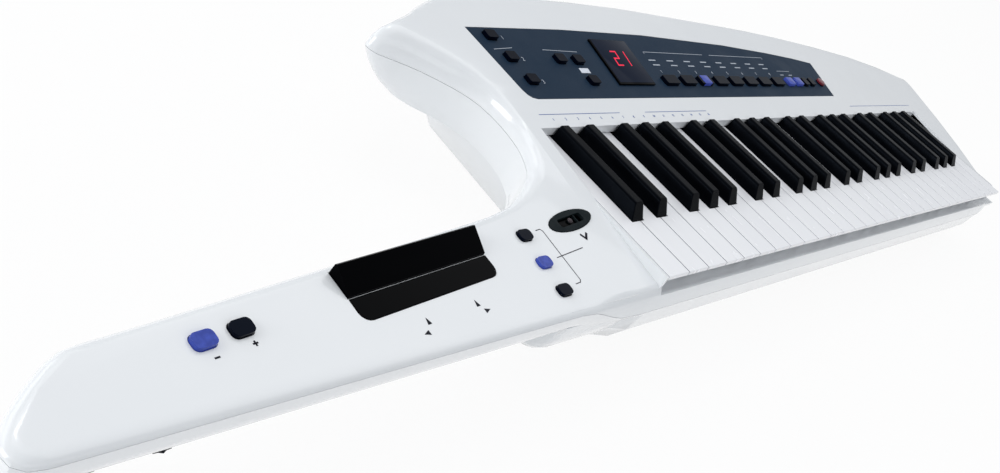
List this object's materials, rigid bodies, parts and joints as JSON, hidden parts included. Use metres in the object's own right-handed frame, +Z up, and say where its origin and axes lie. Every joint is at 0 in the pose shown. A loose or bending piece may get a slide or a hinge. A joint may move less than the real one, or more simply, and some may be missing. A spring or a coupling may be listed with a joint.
{
  "type": "keytar",
  "caption": "Shoulder keyboard with a slim control neck, a full-width piano keyboard, a sloping panel with display and buttons, and a deep rounded underside.",
  "frame": {"origin": "middle of the bounding box, at the flat underside", "axes": "+X from the neck end to the tail, +Y from the front edge of the keys to the rear edge, +Z up"},
  "size_m": [1.142, 0.2666, 0.0892],
  "materials": {
    "case_white": "gloss",
    "key_white": "semi-gloss",
    "key_black": "satin",
    "panel_slate": "satin",
    "gloss_black": "gloss",
    "navy_cap": "gloss",
    "lit_blue": "translucent gloss",
    "display_red": "tinted gloss",
    "sensor_grey": "satin",
    "frame_grey": "mill",
    "board_green": "satin",
    "knob_navy": "satin",
    "pin_steel": "brushed",
    "jack_metal": "satin"
  },
  "bodies": {
    "case": {"upper_case": "case_white", "lower_case": "case_white", "key_frame": "frame_grey", "control_panel": "panel_slate", "display_window": "display_red", "main_board": "board_green", "touch_pad": "gloss_black", "beam_sensor": "sensor_grey", "jack_plate": "jack_metal", "strap_pin_horn": "pin_steel", "strap_pin_tail": "pin_steel"},
    "key_c1": {"key_c1": "key_white"},
    "key_cs1": {"key_cs1": "key_black"},
    "key_d1": {"key_d1": "key_white"},
    "key_ds1": {"key_ds1": "key_black"},
    "key_e1": {"key_e1": "key_white"},
    "key_f1": {"key_f1": "key_white"},
    "key_fs1": {"key_fs1": "key_black"},
    "key_g1": {"key_g1": "key_white"},
    "key_gs1": {"key_gs1": "key_black"},
    "key_a1": {"key_a1": "key_white"},
    "key_as1": {"key_as1": "key_black"},
    "key_b1": {"key_b1": "key_white"},
    "key_c2": {"key_c2": "key_white"},
    "key_cs2": {"key_cs2": "key_black"},
    "key_d2": {"key_d2": "key_white"},
    "key_ds2": {"key_ds2": "key_black"},
    "key_e2": {"key_e2": "key_white"},
    "key_f2": {"key_f2": "key_white"},
    "key_fs2": {"key_fs2": "key_black"},
    "key_g2": {"key_g2": "key_white"},
    "key_gs2": {"key_gs2": "key_black"},
    "key_a2": {"key_a2": "key_white"},
    "key_as2": {"key_as2": "key_black"},
    "key_b2": {"key_b2": "key_white"},
    "key_c3": {"key_c3": "key_white"},
    "key_cs3": {"key_cs3": "key_black"},
    "key_d3": {"key_d3": "key_white"},
    "key_ds3": {"key_ds3": "key_black"},
    "key_e3": {"key_e3": "key_white"},
    "key_f3": {"key_f3": "key_white"},
    "key_fs3": {"key_fs3": "key_black"},
    "key_g3": {"key_g3": "key_white"},
    "key_gs3": {"key_gs3": "key_black"},
    "key_a3": {"key_a3": "key_white"},
    "key_as3": {"key_as3": "key_black"},
    "key_b3": {"key_b3": "key_white"},
    "white_comb_c_e_g_b_c": {"white_comb_c_e_g_b_c": "key_white"},
    "white_comb_d_f_a": {"white_comb_d_f_a": "key_white"},
    "black_comb": {"black_comb": "key_black"},
    "modulation_bar": {"modulation_bar": "gloss_black"},
    "panel_buttons": {"panel_buttons": "navy_cap"},
    "octave_down_button": {"octave_down_button": "lit_blue"},
    "octave_up_button": {"octave_up_button": "navy_cap"},
    "pitch_button": {"pitch_button": "navy_cap"},
    "filter_button": {"filter_button": "lit_blue"},
    "assign_button": {"assign_button": "navy_cap"},
    "volume_knob": {"volume_knob": "knob_navy"},
    "aftertouch_knob": {"aftertouch_knob": "knob_navy"},
    "battery_lid": {"battery_lid": "case_white"}
  },
  "joints": [
    {"name": "key_c1_hinge", "type": "hinge", "parent": "case", "child": "key_c1", "pos_m": [-0.1718, 0.0377, 0.0621], "axis": [1, 0, 0], "range_deg": [0, 3.28], "stiffness_Nm_per_rad": 1, "springref_deg": -2.86},
    {"name": "key_cs1_hinge", "type": "hinge", "parent": "case", "child": "key_cs1", "pos_m": [-0.16241, 0.0377, 0.0621], "axis": [1, 0, 0], "range_deg": [0, 3.28], "stiffness_Nm_per_rad": 1, "springref_deg": -2.86},
    {"name": "key_d1_hinge", "type": "hinge", "parent": "case", "child": "key_d1", "pos_m": [-0.14823, 0.0377, 0.0621], "axis": [1, 0, 0], "range_deg": [0, 3.28], "stiffness_Nm_per_rad": 1, "springref_deg": -2.86},
    {"name": "key_ds1_hinge", "type": "hinge", "parent": "case", "child": "key_ds1", "pos_m": [-0.13404, 0.0377, 0.0621], "axis": [1, 0, 0], "range_deg": [0, 3.28], "stiffness_Nm_per_rad": 1, "springref_deg": -2.86},
    {"name": "key_e1_hinge", "type": "hinge", "parent": "case", "child": "key_e1", "pos_m": [-0.12466, 0.0377, 0.0621], "axis": [1, 0, 0], "range_deg": [0, 3.28], "stiffness_Nm_per_rad": 1, "springref_deg": -2.86},
    {"name": "key_f1_hinge", "type": "hinge", "parent": "case", "child": "key_f1", "pos_m": [-0.10109, 0.0377, 0.0621], "axis": [1, 0, 0], "range_deg": [0, 3.28], "stiffness_Nm_per_rad": 1, "springref_deg": -2.86},
    {"name": "key_fs1_hinge", "type": "hinge", "parent": "case", "child": "key_fs1", "pos_m": [-0.0927, 0.0377, 0.0621], "axis": [1, 0, 0], "range_deg": [0, 3.28], "stiffness_Nm_per_rad": 1, "springref_deg": -2.86},
    {"name": "key_g1_hinge", "type": "hinge", "parent": "case", "child": "key_g1", "pos_m": [-0.07751, 0.0377, 0.0621], "axis": [1, 0, 0], "range_deg": [0, 3.28], "stiffness_Nm_per_rad": 1, "springref_deg": -2.86},
    {"name": "key_gs1_hinge", "type": "hinge", "parent": "case", "child": "key_gs1", "pos_m": [-0.06573, 0.0377, 0.0621], "axis": [1, 0, 0], "range_deg": [0, 3.28], "stiffness_Nm_per_rad": 1, "springref_deg": -2.86},
    {"name": "key_a1_hinge", "type": "hinge", "parent": "case", "child": "key_a1", "pos_m": [-0.05394, 0.0377, 0.0621], "axis": [1, 0, 0], "range_deg": [0, 3.28], "stiffness_Nm_per_rad": 1, "springref_deg": -2.86},
    {"name": "key_as1_hinge", "type": "hinge", "parent": "case", "child": "key_as1", "pos_m": [-0.03876, 0.0377, 0.0621], "axis": [1, 0, 0], "range_deg": [0, 3.28], "stiffness_Nm_per_rad": 1, "springref_deg": -2.86},
    {"name": "key_b1_hinge", "type": "hinge", "parent": "case", "child": "key_b1", "pos_m": [-0.03037, 0.0377, 0.0621], "axis": [1, 0, 0], "range_deg": [0, 3.28], "stiffness_Nm_per_rad": 1, "springref_deg": -2.86},
    {"name": "key_c2_hinge", "type": "hinge", "parent": "case", "child": "key_c2", "pos_m": [-0.0068, 0.0377, 0.0621], "axis": [1, 0, 0], "range_deg": [0, 3.28], "stiffness_Nm_per_rad": 1, "springref_deg": -2.86},
    {"name": "key_cs2_hinge", "type": "hinge", "parent": "case", "child": "key_cs2", "pos_m": [0.00259, 0.0377, 0.0621], "axis": [1, 0, 0], "range_deg": [0, 3.28], "stiffness_Nm_per_rad": 1, "springref_deg": -2.86},
    {"name": "key_d2_hinge", "type": "hinge", "parent": "case", "child": "key_d2", "pos_m": [0.01677, 0.0377, 0.0621], "axis": [1, 0, 0], "range_deg": [0, 3.28], "stiffness_Nm_per_rad": 1, "springref_deg": -2.86},
    {"name": "key_ds2_hinge", "type": "hinge", "parent": "case", "child": "key_ds2", "pos_m": [0.03096, 0.0377, 0.0621], "axis": [1, 0, 0], "range_deg": [0, 3.28], "stiffness_Nm_per_rad": 1, "springref_deg": -2.86},
    {"name": "key_e2_hinge", "type": "hinge", "parent": "case", "child": "key_e2", "pos_m": [0.04034, 0.0377, 0.0621], "axis": [1, 0, 0], "range_deg": [0, 3.28], "stiffness_Nm_per_rad": 1, "springref_deg": -2.86},
    {"name": "key_f2_hinge", "type": "hinge", "parent": "case", "child": "key_f2", "pos_m": [0.06391, 0.0377, 0.0621], "axis": [1, 0, 0], "range_deg": [0, 3.28], "stiffness_Nm_per_rad": 1, "springref_deg": -2.86},
    {"name": "key_fs2_hinge", "type": "hinge", "parent": "case", "child": "key_fs2", "pos_m": [0.0723, 0.0377, 0.0621], "axis": [1, 0, 0], "range_deg": [0, 3.28], "stiffness_Nm_per_rad": 1, "springref_deg": -2.86},
    {"name": "key_g2_hinge", "type": "hinge", "parent": "case", "child": "key_g2", "pos_m": [0.08749, 0.0377, 0.0621], "axis": [1, 0, 0], "range_deg": [0, 3.28], "stiffness_Nm_per_rad": 1, "springref_deg": -2.86},
    {"name": "key_gs2_hinge", "type": "hinge", "parent": "case", "child": "key_gs2", "pos_m": [0.09927, 0.0377, 0.0621], "axis": [1, 0, 0], "range_deg": [0, 3.28], "stiffness_Nm_per_rad": 1, "springref_deg": -2.86},
    {"name": "key_a2_hinge", "type": "hinge", "parent": "case", "child": "key_a2", "pos_m": [0.11106, 0.0377, 0.0621], "axis": [1, 0, 0], "range_deg": [0, 3.28], "stiffness_Nm_per_rad": 1, "springref_deg": -2.86},
    {"name": "key_as2_hinge", "type": "hinge", "parent": "case", "child": "key_as2", "pos_m": [0.12624, 0.0377, 0.0621], "axis": [1, 0, 0], "range_deg": [0, 3.28], "stiffness_Nm_per_rad": 1, "springref_deg": -2.86},
    {"name": "key_b2_hinge", "type": "hinge", "parent": "case", "child": "key_b2", "pos_m": [0.13463, 0.0377, 0.0621], "axis": [1, 0, 0], "range_deg": [0, 3.28], "stiffness_Nm_per_rad": 1, "springref_deg": -2.86},
    {"name": "key_c3_hinge", "type": "hinge", "parent": "case", "child": "key_c3", "pos_m": [0.1582, 0.0377, 0.0621], "axis": [1, 0, 0], "range_deg": [0, 3.28], "stiffness_Nm_per_rad": 1, "springref_deg": -2.86},
    {"name": "key_cs3_hinge", "type": "hinge", "parent": "case", "child": "key_cs3", "pos_m": [0.16759, 0.0377, 0.0621], "axis": [1, 0, 0], "range_deg": [0, 3.28], "stiffness_Nm_per_rad": 1, "springref_deg": -2.86},
    {"name": "key_d3_hinge", "type": "hinge", "parent": "case", "child": "key_d3", "pos_m": [0.18177, 0.0377, 0.0621], "axis": [1, 0, 0], "range_deg": [0, 3.28], "stiffness_Nm_per_rad": 1, "springref_deg": -2.86},
    {"name": "key_ds3_hinge", "type": "hinge", "parent": "case", "child": "key_ds3", "pos_m": [0.19596, 0.0377, 0.0621], "axis": [1, 0, 0], "range_deg": [0, 3.28], "stiffness_Nm_per_rad": 1, "springref_deg": -2.86},
    {"name": "key_e3_hinge", "type": "hinge", "parent": "case", "child": "key_e3", "pos_m": [0.20534, 0.0377, 0.0621], "axis": [1, 0, 0], "range_deg": [0, 3.28], "stiffness_Nm_per_rad": 1, "springref_deg": -2.86},
    {"name": "key_f3_hinge", "type": "hinge", "parent": "case", "child": "key_f3", "pos_m": [0.22891, 0.0377, 0.0621], "axis": [1, 0, 0], "range_deg": [0, 3.28], "stiffness_Nm_per_rad": 1, "springref_deg": -2.86},
    {"name": "key_fs3_hinge", "type": "hinge", "parent": "case", "child": "key_fs3", "pos_m": [0.2373, 0.0377, 0.0621], "axis": [1, 0, 0], "range_deg": [0, 3.28], "stiffness_Nm_per_rad": 1, "springref_deg": -2.86},
    {"name": "key_g3_hinge", "type": "hinge", "parent": "case", "child": "key_g3", "pos_m": [0.25249, 0.0377, 0.0621], "axis": [1, 0, 0], "range_deg": [0, 3.28], "stiffness_Nm_per_rad": 1, "springref_deg": -2.86},
    {"name": "key_gs3_hinge", "type": "hinge", "parent": "case", "child": "key_gs3", "pos_m": [0.26427, 0.0377, 0.0621], "axis": [1, 0, 0], "range_deg": [0, 3.28], "stiffness_Nm_per_rad": 1, "springref_deg": -2.86},
    {"name": "key_a3_hinge", "type": "hinge", "parent": "case", "child": "key_a3", "pos_m": [0.27606, 0.0377, 0.0621], "axis": [1, 0, 0], "range_deg": [0, 3.28], "stiffness_Nm_per_rad": 1, "springref_deg": -2.86},
    {"name": "key_as3_hinge", "type": "hinge", "parent": "case", "child": "key_as3", "pos_m": [0.29124, 0.0377, 0.0621], "axis": [1, 0, 0], "range_deg": [0, 3.28], "stiffness_Nm_per_rad": 1, "springref_deg": -2.86},
    {"name": "key_b3_hinge", "type": "hinge", "parent": "case", "child": "key_b3", "pos_m": [0.29963, 0.0377, 0.0621], "axis": [1, 0, 0], "range_deg": [0, 3.28], "stiffness_Nm_per_rad": 1, "springref_deg": -2.86},
    {"name": "white_comb_c_e_g_b_c_hinge", "type": "hinge", "parent": "case", "child": "white_comb_c_e_g_b_c", "pos_m": [0.40571, 0.0377, 0.0621], "axis": [1, 0, 0], "range_deg": [0, 3.28], "stiffness_Nm_per_rad": 5, "springref_deg": -2.86},
    {"name": "white_comb_d_f_a_hinge", "type": "hinge", "parent": "case", "child": "white_comb_d_f_a", "pos_m": [0.39396, 0.0377, 0.0621], "axis": [1, 0, 0], "range_deg": [0, 3.28], "stiffness_Nm_per_rad": 3, "springref_deg": -2.86},
    {"name": "black_comb_hinge", "type": "hinge", "parent": "case", "child": "black_comb", "pos_m": [0.39441, 0.0377, 0.0621], "axis": [1, 0, 0], "range_deg": [0, 3.28], "stiffness_Nm_per_rad": 5, "springref_deg": -2.86},
    {"name": "modulation_bar_hinge", "type": "hinge", "parent": "case", "child": "modulation_bar", "pos_m": [-0.35884, -0.08799, 0.06222], "axis": [-0.9952, -0.0969, -0.0111], "range_deg": [0, 4], "stiffness_Nm_per_rad": 0.15, "springref_deg": -2.86},
    {"name": "octave_down_press", "type": "slide", "parent": "case", "child": "octave_down_button", "axis": [0, 0.1142, -0.9935], "range_m": [0, 0.001], "stiffness_N_per_m": 800, "springref_m": -0.0005},
    {"name": "octave_up_press", "type": "slide", "parent": "case", "child": "octave_up_button", "axis": [0, 0.1142, -0.9935], "range_m": [0, 0.001], "stiffness_N_per_m": 800, "springref_m": -0.0005},
    {"name": "pitch_press", "type": "slide", "parent": "case", "child": "pitch_button", "axis": [0, 0.1142, -0.9935], "range_m": [0, 0.001], "stiffness_N_per_m": 800, "springref_m": -0.0005},
    {"name": "filter_press", "type": "slide", "parent": "case", "child": "filter_button", "axis": [0, 0.1142, -0.9935], "range_m": [0, 0.001], "stiffness_N_per_m": 800, "springref_m": -0.0005},
    {"name": "assign_press", "type": "slide", "parent": "case", "child": "assign_button", "axis": [0, 0.1142, -0.9935], "range_m": [0, 0.001], "stiffness_N_per_m": 800, "springref_m": -0.0005},
    {"name": "panel_buttons_press", "type": "slide", "parent": "case", "child": "panel_buttons", "axis": [0, 0.1142, -0.9935], "range_m": [0, 0.0008], "stiffness_N_per_m": 3000, "springref_m": -0.0003},
    {"name": "volume_knob_turn", "type": "hinge", "parent": "case", "child": "volume_knob", "pos_m": [-0.53299, -0.1149, 0.0351], "axis": [0, 0, 1], "range_deg": [-150, 150]},
    {"name": "aftertouch_knob_turn", "type": "hinge", "parent": "case", "child": "aftertouch_knob", "pos_m": [-0.50159, -0.1149, 0.0351], "axis": [0, 0, 1], "range_deg": [-150, 150]},
    {"name": "battery_lid_slide", "type": "slide", "parent": "case", "child": "battery_lid", "axis": [1, 0, 0], "range_m": [0, 0.008]}
  ]
}
